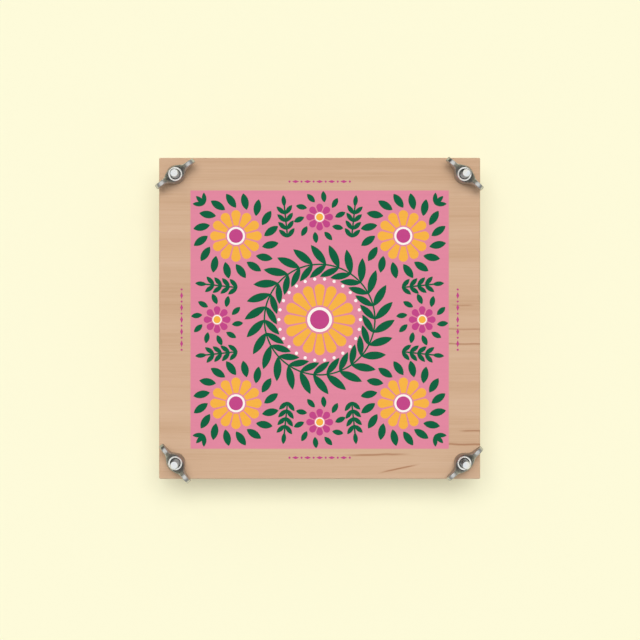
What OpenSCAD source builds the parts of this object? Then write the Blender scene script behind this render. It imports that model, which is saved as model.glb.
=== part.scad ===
/* [Boards] */
// Width and depth of the two square boards
board_w = 180; // [150:1:240]
// Thickness of a board
board_t = 9; // [7:0.5:15]
// Rounding of a board's four upright corners
board_corner_r = 0.8; // [0.6:0.1:3]
// Width of the flat sanded along a board's sharp edges
board_edge = 0.5; // [0.2:0.1:1]

/* [Sheets] */
// Thickness of a corrugated card
card_t = 3; // [2.4:0.1:5]
// How far a card's edges stand back from the boards' edges
card_inset = 1; // [0:0.1:4]
// Thickness of the flat paper on each face of a card
card_face_t = 0.25; // [0.15:0.01:0.4]
// Thickness of a card's wavy paper where it lies along a face
card_core_t = 0.25; // [0.15:0.01:0.4]
// Width of the slanting web of a card's wavy paper, measured along the card
card_web_w = 0.4; // [0.25:0.01:0.6]
// Length of one whole wave of a card's wavy paper
card_wave = 6.5; // [5:0.1:9]
// Width of the crest of a wave
card_crest_w = 1; // [0.5:0.1:1.5]
// Thickness of a blotting paper
blotter_t = 0.6; // [0.3:0.05:1]
// How far a blotting paper's edges stand back from the boards' edges
blotter_inset = 2; // [0:0.1:5]
// Space between a bolt and the cut corner of a sheet
corner_gap = 2.5; // [1:0.1:5]

/* [Bolts] */
// Diameter of a bolt's thread
bolt_d = 5; // [4:0.1:6]
// Distance from a board's edges to a bolt's centre line
bolt_inset = 9.4; // [8:0.1:14]
// Diameter of a bolt's domed head
bolt_head_d = 13; // [11:0.1:15]
// Height of a bolt's head
bolt_head_h = 3; // [2.4:0.1:4]
// Height of the upright rim of a bolt's head
bolt_rim_h = 0.6; // [0.3:0.1:1]
// Width of the square neck that keeps a bolt from turning
bolt_neck_w = 5.3; // [5:0.1:6.5]
// Height of the square neck
bolt_neck_h = 3.5; // [2.5:0.1:4]
// Size of the chamfer at a bolt's free end
bolt_chamfer = 0.5; // [0.2:0.1:0.8]
// How far the heads lie above the underside of the lower board
head_recess = 0.3; // [0.1:0.1:1]
// Space round a head in its recess
head_gap = 0.4; // [0.2:0.1:1]
// Space round the square neck in its pocket
neck_gap = 0.05; // [0.02:0.01:0.2]
// Space round a bolt in the boards' holes
hole_gap = 0.25; // [0.1:0.05:0.6]
// How far the upper board rises before the nuts reach the bolts' ends
opening = 13.8; // [6:0.1:40]

/* [Wing nuts] */
// Diameter of a nut's foot
nut_foot_d = 10.6; // [10:0.1:13]
// Diameter of a nut's barrel at its top
nut_top_d = 8; // [7.4:0.1:9.8]
// Height of a nut's barrel
nut_h = 6.5; // [5:0.1:8]
// Distance across the tips of the wings
wing_span = 26; // [24:0.1:30]
// Height of the wings over the foot
wing_h = 13; // [12:0.1:16]
// Thickness of a wing near its tip
wing_t = 2.8; // [1.8:0.1:3.2]
// Radius of a wing's round lobe
wing_lobe_r = 3.8; // [2.5:0.1:4]
// Height at which the wings leave the barrel
wing_root_z = 1; // [0.5:0.1:2]
// Distance from the axis to where a wing has thinned to its own thickness
wing_flare_reach = 7.4; // [6.6:0.1:10]
// Width of a wing's root
wing_root_w = 9; // [6:0.1:9.6]
// Space between a bolt and its nut
thread_gap = 0.05; // [0.02:0.01:0.09]
// Size of the chamfer at each mouth of a nut's thread
nut_chamfer = 0.5; // [0.2:0.1:0.8]

/* [Washers] */
// Outer diameter of a washer
washer_d = 10; // [8:0.1:12]
// Thickness of a washer
washer_t = 1; // [0.6:0.1:1.5]
// Space between a bolt and its washer
washer_gap = 0.15; // [0.1:0.05:0.4]

/* [Print] */
// Distance from the line of the bolts to the edge of the printed square
print_gap = 8.2; // [6:0.1:20]
// How far the print sits off the board's middle, towards the front
print_shift = 0.7; // [0:0.1:1.5]
// Thickness of one coat of ink
ink_t = 0.05; // [0.03:0.01:0.1]
// Length of the row of marks printed on each border
row_l = 35; // [20:0.5:60]
// Distance from the printed square to the middle of a row of marks
row_gap = 5; // [3:0.1:8]
// Length of a lozenge in a row of marks
mark_l = 4; // [2:0.1:5]
// Width of a lozenge in a row of marks
mark_w = 1.7; // [1:0.1:3]
// Diameter of a dot in a row of marks
dot_d = 1.2; // [0.6:0.1:2]

/* [Hidden] */
$fn = 64;
CORNERS = ["front_left", "front_right", "back_left", "back_right"];
corner_signs = [[-1, -1], [1, -1], [-1, 1], [1, 1]];
// How far each nut stands turned, seen from above
nut_turns = [-53, 43, 36, -41];

cards = 6;
papers_in_a_layer = 2;
layers = cards - 1;
blotters = layers * papers_in_a_layer;

// One overrun for every cut, so that no face is left behind
cut = board_t;

layer_t = papers_in_a_layer * blotter_t;
stack_t = cards * card_t + layers * layer_t;
top_board_z = board_t + stack_t;
top_z = top_board_z + board_t;
nut_z = top_z + washer_t;
bolt_seat_z = head_recess + bolt_head_h;
bolt_end_z = nut_z + nut_h + opening;
bolt_at = board_w / 2 - bolt_inset;
bolt_r = bolt_d / 2;
head_rise = bolt_head_h - bolt_rim_h;
head_dome_r = (pow(bolt_head_d / 2, 2) + pow(head_rise, 2)) / (2 * head_rise);

wing_r = wing_span / 2;
lobe_at = [wing_r - wing_lobe_r, wing_h - wing_lobe_r];

// The sum of x and y at which a sheet's corner is cut off to clear its bolt
corner_sum = 2 * bolt_at - sqrt(2) * (bolt_r + corner_gap);

wood = "#D1AD8F";
kraft = "#B68D5F";
paper = "#F0EADC";
zinc = "#A7A9A6";
pink = "#E982A0";
green = "#106E40";
yellow = "#F7B442";
white = "#FFF8F2";
magenta = "#C64988";

// Boards

module rounded_square(w, r) {
    square([w, w - 2 * r], center = true);
    square([w - 2 * r, w], center = true);
    for (s = corner_signs) translate(s * (w / 2 - r)) circle(r);
}

// A bar as long as it is wide, with the flats of the sanded edges along its length
module edged_bar(w, t, edge) {
    side = w / 2;
    translate([0, side, 0]) rotate([90, 0, 0]) linear_extrude(w) polygon([
        [edge - side, 0], [side - edge, 0], [side, edge], [side, t - edge],
        [side - edge, t], [edge - side, t], [-side, t - edge], [-side, edge]
    ]);
}

module board_blank() {
    intersection() {
        linear_extrude(board_t) rounded_square(board_w, board_corner_r);
        edged_bar(board_w, board_t, board_edge);
        rotate(90) edged_bar(board_w, board_t, board_edge);
    }
}

module at_bolts() {
    for (s = corner_signs) translate(s * bolt_at) children();
}

module bolt_hole() {
    translate([0, 0, -cut]) cylinder(h = board_t + 2 * cut, r = bolt_r + hole_gap);
}

module head_recess_and_pocket() {
    pocket_w = bolt_neck_w + 2 * neck_gap;
    translate([0, 0, -cut]) cylinder(h = bolt_seat_z + cut, r = bolt_head_d / 2 + head_gap);
    translate([-pocket_w / 2, -pocket_w / 2, 0]) cube([pocket_w, pocket_w, bolt_seat_z + bolt_neck_h]);
}

module bottom_board() {
    color(wood) difference() {
        board_blank();
        at_bolts() bolt_hole();
        at_bolts() head_recess_and_pocket();
    }
}

module top_board() {
    color(wood) translate([0, 0, top_board_z]) difference() {
        board_blank();
        at_bolts() bolt_hole();
    }
}

// Sheets

function card_z(i) = board_t + (i - 1) * (card_t + layer_t);
function layer_of(j) = ceil(j / papers_in_a_layer);
function place_in_layer(j) = (j - 1) % papers_in_a_layer;
function blotter_z(j) = card_z(layer_of(j)) + card_t + place_in_layer(j) * blotter_t;

// A square with its corners cut off in line with the other sheets' corners
module sheet_outline(inset) {
    side = board_w / 2 - inset;
    short = corner_sum - side;
    polygon([
        [side, -short], [side, short], [short, side], [-short, side],
        [-side, short], [-side, -short], [-short, -side], [short, -side]
    ]);
}

// The inside of a card is as high as its core, and a channel of air is lower by one paper
core_h = card_t - 2 * card_face_t;
air_h = core_h - card_core_t;
rise_of_web = core_h / air_h;
air_top_half = card_crest_w / 2;
air_foot_half = (card_wave / 2 - card_web_w - air_top_half * rise_of_web) / (2 - rise_of_web);

// The channels of air on both sides of a card's wavy paper, seen end on
module air_channels() {
    half_wave = card_wave / 2;
    reach = board_w / 2 - card_inset - air_foot_half - card_web_w;
    count = floor(reach / half_wave);
    for (k = [-count : count]) {
        foot_z = k % 2 == 0 ? card_face_t : card_t - card_face_t;
        up = k % 2 == 0 ? 1 : -1;
        translate([k * half_wave, foot_z]) polygon([
            [-air_foot_half, 0], [air_foot_half, 0],
            [air_top_half, up * air_h], [-air_top_half, up * air_h]
        ]);
    }
}

module card(i) {
    side = board_w / 2;
    color(kraft) translate([0, 0, card_z(i)]) intersection() {
        linear_extrude(card_t) sheet_outline(card_inset);
        translate([0, side, 0]) rotate([90, 0, 0]) linear_extrude(board_w) difference() {
            translate([-side, 0]) square([board_w, card_t]);
            air_channels();
        }
    }
}

module blotter(j) {
    color(paper) translate([0, 0, blotter_z(j)]) linear_extrude(blotter_t) sheet_outline(blotter_inset);
}

// Bolts, washers and wing nuts

module carriage_bolt(s) {
    shank_h = bolt_end_z - bolt_seat_z - bolt_chamfer;
    color(zinc) translate([s.x * bolt_at, s.y * bolt_at, 0]) {
        intersection() {
            translate([0, 0, head_recess + head_dome_r]) sphere(head_dome_r);
            translate([0, 0, head_recess]) cylinder(h = bolt_head_h, r = bolt_head_d / 2);
        }
        translate([-bolt_neck_w / 2, -bolt_neck_w / 2, bolt_seat_z])
            cube([bolt_neck_w, bolt_neck_w, bolt_neck_h]);
        translate([0, 0, bolt_seat_z]) cylinder(h = shank_h, r = bolt_r);
        translate([0, 0, bolt_end_z - bolt_chamfer])
            cylinder(h = bolt_chamfer, r1 = bolt_r, r2 = bolt_r - bolt_chamfer);
    }
}

module washer(s) {
    color(zinc) translate([s.x * bolt_at, s.y * bolt_at, top_z]) difference() {
        cylinder(h = washer_t, r = washer_d / 2);
        translate([0, 0, -cut]) cylinder(h = washer_t + 2 * cut, r = bolt_r + washer_gap);
    }
}

// Where the straight line from a point touches a circle, on the side that sign names
function touch(from, centre, r, sign) =
    let (d = norm(centre - from), way = atan2(centre.y - from.y, centre.x - from.x) + sign * asin(r / d))
    from + sqrt(d * d - r * r) * [cos(way), sin(way)];

// The barrel tapers from its foot to its top
function barrel_r(z) = (nut_foot_d + (nut_top_d - nut_foot_d) * z / nut_h) / 2;

// One wing seen from the side, from the thread out to its lobe
module wing_side() {
    foot = [barrel_r(wing_root_z), wing_root_z];
    neck = [barrel_r(nut_h), nut_h];
    polygon([
        [bolt_r, wing_root_z], foot, touch(foot, lobe_at, wing_lobe_r, -1), lobe_at,
        touch(neck, lobe_at, wing_lobe_r, 1), neck, [bolt_r, nut_h]
    ]);
    translate(lobe_at) circle(wing_lobe_r);
}

// Both wings seen from above: thin blades that swell into the barrel
module wings_plan() {
    root_r = (pow(wing_flare_reach, 2) + pow(wing_root_w / 2, 2)) / wing_root_w;
    square([wing_span, wing_t], center = true);
    intersection() {
        translate([0, root_r - wing_root_w / 2]) circle(root_r);
        translate([0, wing_root_w / 2 - root_r]) circle(root_r);
    }
}

module wing_nut(s, turn) {
    bore_r = bolt_r + thread_gap;
    mouth_r = bore_r + nut_chamfer;
    color(zinc) translate([s.x * bolt_at, s.y * bolt_at, nut_z]) rotate(turn) difference() {
        union() {
            cylinder(h = nut_h, r1 = nut_foot_d / 2, r2 = nut_top_d / 2);
            intersection() {
                linear_extrude(wing_h) wings_plan();
                translate([0, wing_root_w / 2, 0]) rotate([90, 0, 0]) linear_extrude(wing_root_w) {
                    wing_side();
                    mirror([1, 0]) wing_side();
                }
            }
        }
        translate([0, 0, -cut]) cylinder(h = wing_h + 2 * cut, r = bore_r);
        translate([0, 0, nut_h - nut_chamfer]) cylinder(h = nut_chamfer, r1 = bore_r, r2 = mouth_r);
        cylinder(h = nut_chamfer, r1 = mouth_r, r2 = bore_r);
    }
}

// Print: a folk wreath round a middle flower, with a flower in each corner and on each side.
// Its places and sizes are shares of the printed square's width, and a flower's are shares of its radius.

print_w = board_w - 2 * (bolt_inset + print_gap);

middle_flower_share = 0.138;
corner_flower_share = 0.1;
side_flower_share = 0.052;
corner_place_share = 0.324;
side_place_share = 0.397;
heart_share = 0.27;
ring_share = 0.35;
petal_foot_share = 0.4;
petal_fill_share = 0.86;

wreath_r_share = 0.214;
stem_w_share = 0.006;
wreath_outer_leaf_shares = [0.097, 0.031];
wreath_inner_leaf_shares = [0.082, 0.026];
corner_leaf_ring_share = 0.109;
corner_leaf_shares = [0.066, 0.029];
side_leaf_ring_share = 0.06;
side_leaf_shares = [0.044, 0.021];
branch_foot_shares = [0.124, 0.318];
branch_l_share = 0.165;
branch_leaf_shares = [0.045, 0.018];
tuft_place_share = 0.446;
tuft_leaf_shares = [0.046, 0.018];
berry_share = 0.0062;
berry_ring_share = 0.158;

wreath_leaves = 26;
wreath_tilt = 45;
corner_leaves = 16;
corner_tilt = 35;
side_leaves = 10;
side_tilt = 25;
branch_pairs = 4;
branch_spread = 42;
branch_lean = 84;
tuft_spread = 42;
middle_petals = 16;
corner_petals = 12;
side_petals = 8;
row_lozenges = 5;

// A pointed leaf along +X, bounded by two arcs
module leaf(shares) {
    l = shares[0] * print_w;
    w = shares[1] * print_w;
    r = (l * l + w * w) / (4 * w);
    intersection() {
        translate([l / 2, r - w / 2]) circle(r);
        translate([l / 2, w / 2 - r]) circle(r);
    }
}

module turned(count) {
    for (i = [0 : count - 1]) rotate(i * 360 / count) children();
}

module leaf_ring(count, r_share, shares, tilt) {
    turned(count) translate([r_share * print_w, 0]) rotate(tilt) leaf(shares);
}

module heart(share) {
    circle(share * heart_share * print_w);
}

module ring(share) {
    difference() {
        circle(share * ring_share * print_w);
        heart(share);
    }
}

// Wedges with round ends that fill their sectors up to a narrow gap
module petals(share, count) {
    r = share * print_w;
    slope = sin(180 / count) * petal_fill_share;
    tip_r = r * slope / (1 + slope);
    reach = r - tip_r;
    foot = r * petal_foot_share;
    turned(count) {
        polygon([[foot, -foot * slope], [reach, -tip_r], [reach, tip_r], [foot, foot * slope]]);
        translate([reach, 0]) circle(tip_r);
    }
}

module at_corner_flowers() {
    for (s = corner_signs) translate(s * corner_place_share * print_w) children();
}

module at_side_flowers() {
    turned(4) translate([0, side_place_share * print_w]) children();
}

// A stem with pairs of leaves and one more at its end
module branch() {
    l = branch_l_share * print_w;
    tip = branch_leaf_shares[0] * print_w;
    stem_w = stem_w_share * print_w;
    translate([0, -stem_w / 2]) square([l - tip / 2, stem_w]);
    for (i = [0 : branch_pairs - 1]) translate([i * (l - tip) / branch_pairs, 0]) {
        rotate(branch_spread) leaf(branch_leaf_shares);
        rotate(-branch_spread) leaf(branch_leaf_shares);
    }
    translate([l - tip, 0]) leaf(branch_leaf_shares);
}

module branches() {
    turned(4) for (side = [0, 1]) mirror([side, 0])
        translate(branch_foot_shares * print_w) rotate(branch_lean) branch();
}

module tufts() {
    turned(4) rotate(45) translate([tuft_place_share * sqrt(2) * print_w, 0])
        for (way = [-1, 0, 1]) rotate(way * tuft_spread) leaf(tuft_leaf_shares);
}

module wreath() {
    stem_w = stem_w_share * print_w;
    difference() {
        circle(wreath_r_share * print_w + stem_w / 2);
        circle(wreath_r_share * print_w - stem_w / 2);
    }
    leaf_ring(wreath_leaves, wreath_r_share, wreath_outer_leaf_shares, wreath_tilt);
    leaf_ring(wreath_leaves, wreath_r_share, wreath_inner_leaf_shares, 180 - wreath_tilt);
}

// On each of the board's plain borders, a row of lozenges with a dot at each of their ends
module border_marks() {
    step = (row_l - dot_d) / row_lozenges;
    first = (dot_d - row_l) / 2;
    turned(4) translate([first, print_w / 2 + row_gap]) {
        for (i = [0 : row_lozenges - 1]) translate([(i + 1 / 2) * step, 0]) lozenge();
        for (i = [0 : row_lozenges]) translate([i * step, 0]) circle(d = dot_d);
    }
}

module lozenge() {
    polygon([[-mark_l / 2, 0], [0, -mark_w / 2], [mark_l / 2, 0], [0, mark_w / 2]]);
}

module coat(level) {
    translate([0, -print_shift, top_z + level * ink_t]) linear_extrude(ink_t) children();
}

module print_pink() {
    color(pink) coat(0) square(print_w, center = true);
}

module print_green() {
    color(green) coat(1) {
        wreath();
        at_corner_flowers() leaf_ring(corner_leaves, corner_leaf_ring_share, corner_leaf_shares, corner_tilt);
        at_side_flowers() leaf_ring(side_leaves, side_leaf_ring_share, side_leaf_shares, side_tilt);
        branches();
        tufts();
    }
}

module print_yellow() {
    color(yellow) coat(1) {
        petals(middle_flower_share, middle_petals);
        at_corner_flowers() petals(corner_flower_share, corner_petals);
        at_side_flowers() heart(side_flower_share);
    }
}

module print_white() {
    color(white) coat(1) {
        ring(middle_flower_share);
        at_corner_flowers() ring(corner_flower_share);
        at_side_flowers() ring(side_flower_share);
        turned(wreath_leaves) translate([berry_ring_share * print_w, 0]) circle(berry_share * print_w);
    }
}

module print_magenta() {
    color(magenta) {
        coat(1) {
            heart(middle_flower_share);
            at_corner_flowers() heart(corner_flower_share);
            at_side_flowers() petals(side_flower_share, side_petals);
        }
        coat(0) border_marks();
    }
}

bottom_board();
top_board();
for (i = [1 : cards]) card(i);
for (j = [1 : blotters]) blotter(j);
for (c = [0 : 3]) {
    carriage_bolt(corner_signs[c]);
    washer(corner_signs[c]);
    wing_nut(corner_signs[c], nut_turns[c]);
}
print_pink();
print_green();
print_yellow();
print_white();
print_magenta();
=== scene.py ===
# %% [markdown]
# # The surfaces of a flower press
# A flower press is two square boards with corrugated cards and blotting papers between them, drawn
# together by a bolt, a washer and a wing nut at each corner. Its pieces are loaded here as plain
# solids that already have their sizes and their joints. This lesson gives every piece the surface
# of the real thing, and a finer form where the solid is plain. The solids come first, because all
# that follows is placed in their coordinates, in metres.

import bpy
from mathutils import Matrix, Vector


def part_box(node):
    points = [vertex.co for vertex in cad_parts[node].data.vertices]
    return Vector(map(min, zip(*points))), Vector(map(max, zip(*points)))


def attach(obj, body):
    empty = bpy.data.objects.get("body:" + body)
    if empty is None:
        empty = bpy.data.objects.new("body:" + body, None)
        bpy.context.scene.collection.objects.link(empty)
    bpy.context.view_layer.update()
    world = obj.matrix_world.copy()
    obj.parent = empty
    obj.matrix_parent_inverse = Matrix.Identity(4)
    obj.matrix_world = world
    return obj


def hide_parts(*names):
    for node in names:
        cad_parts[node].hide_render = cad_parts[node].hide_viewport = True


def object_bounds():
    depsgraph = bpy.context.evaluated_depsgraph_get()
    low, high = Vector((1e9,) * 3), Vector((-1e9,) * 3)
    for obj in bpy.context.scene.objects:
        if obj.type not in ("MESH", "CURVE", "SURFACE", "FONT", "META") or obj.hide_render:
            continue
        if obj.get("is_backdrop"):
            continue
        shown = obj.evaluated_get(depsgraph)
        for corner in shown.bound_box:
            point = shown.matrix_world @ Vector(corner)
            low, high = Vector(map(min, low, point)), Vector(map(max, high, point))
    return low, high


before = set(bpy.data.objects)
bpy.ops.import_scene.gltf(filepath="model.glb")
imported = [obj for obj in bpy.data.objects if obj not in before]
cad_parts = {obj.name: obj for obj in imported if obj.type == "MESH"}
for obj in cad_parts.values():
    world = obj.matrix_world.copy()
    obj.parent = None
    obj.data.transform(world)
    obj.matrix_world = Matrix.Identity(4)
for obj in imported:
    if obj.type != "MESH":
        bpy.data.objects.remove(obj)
solid_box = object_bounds()

# %% [markdown]
# A workshop drawing is in millimetres, so one number turns its sizes into metres. What the solids
# can tell, such as where the bolts stand and how thick the boards are, is measured on them and not
# typed again.

# %% Measure what the solids can tell
import math

import bmesh
import bpy
import numpy as np
from mathutils import Matrix, Vector

MM = 0.001
CORNERS = ["front_left", "front_right", "back_left", "back_right"]


def box_mm(node):
    low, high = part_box(node)
    return np.array(low) / MM, np.array(high) / MM


bolt_places = {corner: sum(box_mm("washer_" + corner))[:2] / 2 for corner in CORNERS}
board_w, _, board_t = box_mm("bottom_board")[1] - box_mm("bottom_board")[0]
upper_z = box_mm("top_board")[0][2]
nut_z = box_mm("wing_nut_front_left")[0][2]
bolt_at = bolt_places["back_right"][0]
print(f"boards {board_w:.0f} x {board_t:.0f} mm, bolts {bolt_at:.0f} mm from the middle")

# %% [markdown]
# The picture was taken from straight above with a long lens. A camera that isn't turned looks down
# the z axis with y up the picture, so it needs only a place and a lens. The distance decides how
# far the bolts' ends lean outwards, and they lean more on the right and at the front. The camera
# therefore hangs a little to the left and back, and a small lens shift brings the press back into
# the middle.

# %% Place the camera
CAMERA_PLACE_MM = (-20, 24, 1297)
PICTURE_MIDDLE_MM = (0.2, -0.92)
VIEW_W_MM = 358.8
SENSOR_W_MM = 36


def in_scene(name, data):
    made = bpy.data.objects.new(name, data)
    bpy.context.scene.collection.objects.link(made)
    return made


lens = bpy.data.cameras.new("camera")
distance = CAMERA_PLACE_MM[2] - upper_z - board_t
lens.sensor_width = SENSOR_W_MM
lens.lens = SENSOR_W_MM * distance / VIEW_W_MM
lens.shift_x, lens.shift_y = [(middle - place) / VIEW_W_MM
                              for middle, place in zip(PICTURE_MIDDLE_MM, CAMERA_PLACE_MM)]
camera = in_scene("camera", lens)
camera.location = Vector(CAMERA_PLACE_MM) * MM
bpy.context.scene.camera = camera
print(f"a {lens.lens:.0f} mm lens, {distance:.0f} mm above the upper board")

# %% [markdown]
# Materials in Blender are small graphs of nodes. Colours on a screen are written in the sRGB code,
# and the renderer counts in linear light, so one function translates. A second function adds a
# node: it sets the node's options and gives each input either a value or another node's output.
# That is all that any material needs. Math nodes are used so often that they get a shorter call.

# %% Colours and nodes
def linear(code):
    """An sRGB hex colour as linear red, green, blue and alpha."""
    parts = [int(code[i:i + 2], 16) / 255 for i in (1, 3, 5)]
    return [p / 12.92 if p <= 0.04045 else ((p + 0.055) / 1.055) ** 2.4 for p in parts] + [1.0]


def blank_tree(owner):
    owner.use_nodes = True
    owner.node_tree.nodes.clear()
    return owner.node_tree


def add(tree, kind, inputs=None, **settings):
    """Adds a node. An input is a value, a socket, or a node whose first output is meant."""
    node = tree.nodes.new("ShaderNode" + kind)
    for name, value in settings.items():
        setattr(node, name, value)
    for key, value in (inputs or {}).items():
        socket = node.inputs[key] if isinstance(key, int) else next(
            s for s in node.inputs if s.name == key and s.enabled)
        if isinstance(value, bpy.types.Node):
            value = next(s for s in value.outputs if s.enabled)
        if isinstance(value, bpy.types.NodeSocket):
            tree.links.new(value, socket)
        else:
            socket.default_value = value
    return node


def calc(tree, operation, *numbers):
    return add(tree, "Math", dict(enumerate(numbers)), operation=operation)


def times(tree, a, b):
    return calc(tree, "MULTIPLY", a, b)


print("mid grey #808080 is", round(linear("#808080")[0], 3), "in linear light")

# %% [markdown]
# The press lies on pale cream paper that fills the picture. In a studio such a ground is lit from
# below or lightened afterwards, so the shadow on it is weak. Light Path tells the material when it
# is seen by the camera itself: then about a third of its colour is given off plainly, and the rest
# shows the light and the shadow that fall on it. The ground lies a hair below the press, because
# two faces in one place would flicker.

# %% Lay the pale ground
CREAM = "#FEFBDA"
GLOW_SHARE = 0.34
GROUND_W_MM, GROUND_DROP_MM = 6000, 0.02

ground_paper = bpy.data.materials.new("pale_paper_ground")
tree = blank_tree(ground_paper)
seen = add(tree, "LightPath").outputs["Is Camera Ray"]
glow = times(tree, seen, GLOW_SHARE)
lit = add(tree, "BsdfDiffuse", {"Color": linear(CREAM)})
plain = add(tree, "Emission", {"Color": linear(CREAM)})
add(tree, "OutputMaterial", {"Surface": add(tree, "MixShader", {0: glow, 1: lit, 2: plain})})

half = GROUND_W_MM / 2 * MM
edge = [(-half, -half, 0), (half, -half, 0), (half, half, 0), (-half, half, 0)]
ground_mesh = bpy.data.meshes.new("ground")
ground_mesh.from_pydata(edge, [], [(0, 1, 2, 3)])
ground_mesh.materials.append(ground_paper)
ground = in_scene("ground", ground_mesh)
ground.location.z = -GROUND_DROP_MM * MM
ground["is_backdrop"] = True
print("the ground is", GROUND_W_MM / 1000, "m wide")

# %% [markdown]
# The shadow in the picture lies below the press and a little on its left and right, so two broad
# lamps hang high over the far edge, one to the left and one to the right. Sun lamps with a wide
# angle do that, and they light the whole ground evenly. A plain white sky adds the rest. Together
# they are set to the level at which a level surface shows its colour as it is written.

# %% Hang the lamps
LAMP_SHARE = 0.7
LAMP_BACK_DEG = 14
LAMP_SIDES_DEG = {"left": -9, "right": 7}
LAMP_WIDTH_DEG = 25

for side, lean_deg in LAMP_SIDES_DEG.items():
    lean = [math.tan(math.radians(deg)) for deg in (lean_deg, LAMP_BACK_DEG)]
    toward = Vector((*lean, 1)).normalized()
    lamp = bpy.data.lights.new("broad_lamp_" + side, "SUN")
    lamp.energy = LAMP_SHARE / len(LAMP_SIDES_DEG) * math.pi / toward.z
    lamp.angle = math.radians(LAMP_WIDTH_DEG)
    lamp_object = in_scene(lamp.name, lamp)
    lamp_object.rotation_euler = toward.to_track_quat("Z", "Y").to_euler()
    lamp_object.visible_glossy = False
print(f"two lamps of {lamp.energy:.2f} W per square metre")

# %% [markdown]
# The world round the press is three things by turns, and Light Path chooses between them. The
# camera sees the cream background. Surfaces are lit by a plain white sky. What gloss sees is a
# room, and metal is made of little else: a large white ceiling straight above and dim walls, so
# level metal shines and steep metal is dark. One part of the room, low and to the far left, is
# black. It is mirrored as a dark spot in the ears that point that way, as in the picture.

# %% Build the sky and the room
WHITE = "#FFFFFF"
SKY_SHARE = 0.3
WALL_TOP, CEILING_EDGE = 0.6, 0.93
WALL_SHARE = 0.28
DARK_WAY = (-0.7, 0.7, 0.08)
DARK_EDGE, DARK_FULL = 0.55, 0.85


def between(tree, value, low, high, to_low=0.0, to_high=1.0):
    """value, turned from the range low to high into the range to_low to to_high, smoothly."""
    return add(tree, "MapRange", {"Value": value, "From Min": low, "From Max": high,
                                  "To Min": to_low, "To Max": to_high},
               interpolation_type="SMOOTHSTEP")


sky = bpy.data.worlds.new("studio")
bpy.context.scene.world = sky
tree = blank_tree(sky)
way = add(tree, "TexCoord").outputs["Generated"]
upward = add(tree, "SeparateXYZ", {0: way}).outputs["Z"]
darkward = add(tree, "VectorMath", {0: way, 1: DARK_WAY}, operation="DOT_PRODUCT").outputs["Value"]
room = times(tree, between(tree, upward, WALL_TOP, CEILING_EDGE, WALL_SHARE, 1.0),
             between(tree, darkward, DARK_EDGE, DARK_FULL, 1.0, 0.0))
light = add(tree, "Background", {"Color": linear(WHITE), "Strength": SKY_SHARE})
gloss = add(tree, "Background", {"Color": linear(WHITE), "Strength": room})
backdrop = add(tree, "Background", {"Color": linear(CREAM), "Strength": 1.0})
path = add(tree, "LightPath")
seen = calc(tree, "MAXIMUM", path.outputs["Is Camera Ray"], path.outputs["Is Transmission Ray"])
indirect = add(tree, "MixShader", {0: path.outputs["Is Glossy Ray"], 1: light, 2: gloss})
add(tree, "OutputWorld", {"Surface": add(tree, "MixShader", {0: seen, 1: indirect, 2: backdrop})})

bpy.context.scene.view_settings.view_transform = "Standard"
print("lamps and sky together", LAMP_SHARE + SKY_SHARE)

# %% [markdown]
# Every pattern below has a real size. Object coordinates are in metres, so they are first turned
# into millimetres, and a texture is then divided by the size of its features: 46 mm along a
# board's grain, for example, and under 1 mm across it. A fourth coordinate, the seed, gives two
# boards made in the same way two different grains.

# %% Patterns with real sizes
GRAIN_MM = (46, 0.8, 0.8)


def millimetres(tree):
    place = add(tree, "TexCoord").outputs["Object"]
    return add(tree, "VectorMath", {0: place, "Scale": 1 / MM}, operation="SCALE")


def pattern(tree, place, size_mm, seed, detail=2.0, **inputs):
    """Cloudy noise whose features are size_mm long, wide and high."""
    scaled = add(tree, "VectorMath", {0: place, 1: size_mm}, operation="DIVIDE")
    return add(tree, "TexNoise", {"Vector": scaled, "W": seed, "Scale": 1.0, "Detail": detail,
                                  **inputs}, noise_dimensions="4D")


def long_grain(tree, place, seed):
    """The growth lines of a peeled veneer: long and thin, and nearly straight."""
    return pattern(tree, place, GRAIN_MM, seed, 5.0, Roughness=0.6, Distortion=0.15)


print("grain lines are", GRAIN_MM[0], "mm long and", GRAIN_MM[1], "mm wide")

# %% [markdown]
# A pattern is a share from 0 to 1 at each point. Three more nodes make use of such a share. One
# turns it into a shift to either side, one looks up a colour, and one lays a second colour, number
# or place over a first.

# %% What a pattern can do
def either_way(tree, share, reach):
    """A share from 0 to 1, turned into a number from -reach to reach."""
    return add(tree, "MapRange", {"Value": share, "To Min": -reach, "To Max": reach})


def ramp(tree, share, stops):
    """A share from 0 to 1, turned into a colour. A stop is a share and its sRGB colour."""
    node = add(tree, "ValToRGB", {"Fac": share})
    steps = node.color_ramp.elements
    for i, (place, code) in enumerate(stops):
        step = steps[i] if i < 2 else steps.new(place)
        step.position, step.color = place, linear(code)
    return node


def mix(tree, share, under, over, data_type="RGBA"):
    """One colour, number or place laid over another by a share."""
    return add(tree, "Mix", {"Factor": share, "A": under, "B": over}, data_type=data_type)


print("half black and half white makes", linear(WHITE)[0] / 2, "in linear light")

# %% [markdown]
# All the materials of the press begin and end in one way, so two functions do that. A material
# begins as an empty graph with the place in millimetres. It ends with one shader, and with a relief
# that is too fine to be modelled: a bump, which only tilts the light, up to a real depth. A third
# function gives a material to a solid whose shape is right as it is.

# %% Begin and end a material
def new_material(name):
    material = bpy.data.materials.new(name)
    tree = blank_tree(material)
    return material, tree, millimetres(tree)


def surface(tree, colour, rough, relief, strength, depth_mm, **inputs):
    bump = add(tree, "Bump", {"Height": relief, "Strength": strength, "Distance": depth_mm * MM})
    inputs = {name.replace("_", " "): value for name, value in inputs.items()}
    shader = add(tree, "BsdfPrincipled", {"Base Color": colour, "Roughness": rough, "Normal": bump,
                                          **inputs})
    add(tree, "OutputMaterial", {"Surface": shader})


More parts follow.
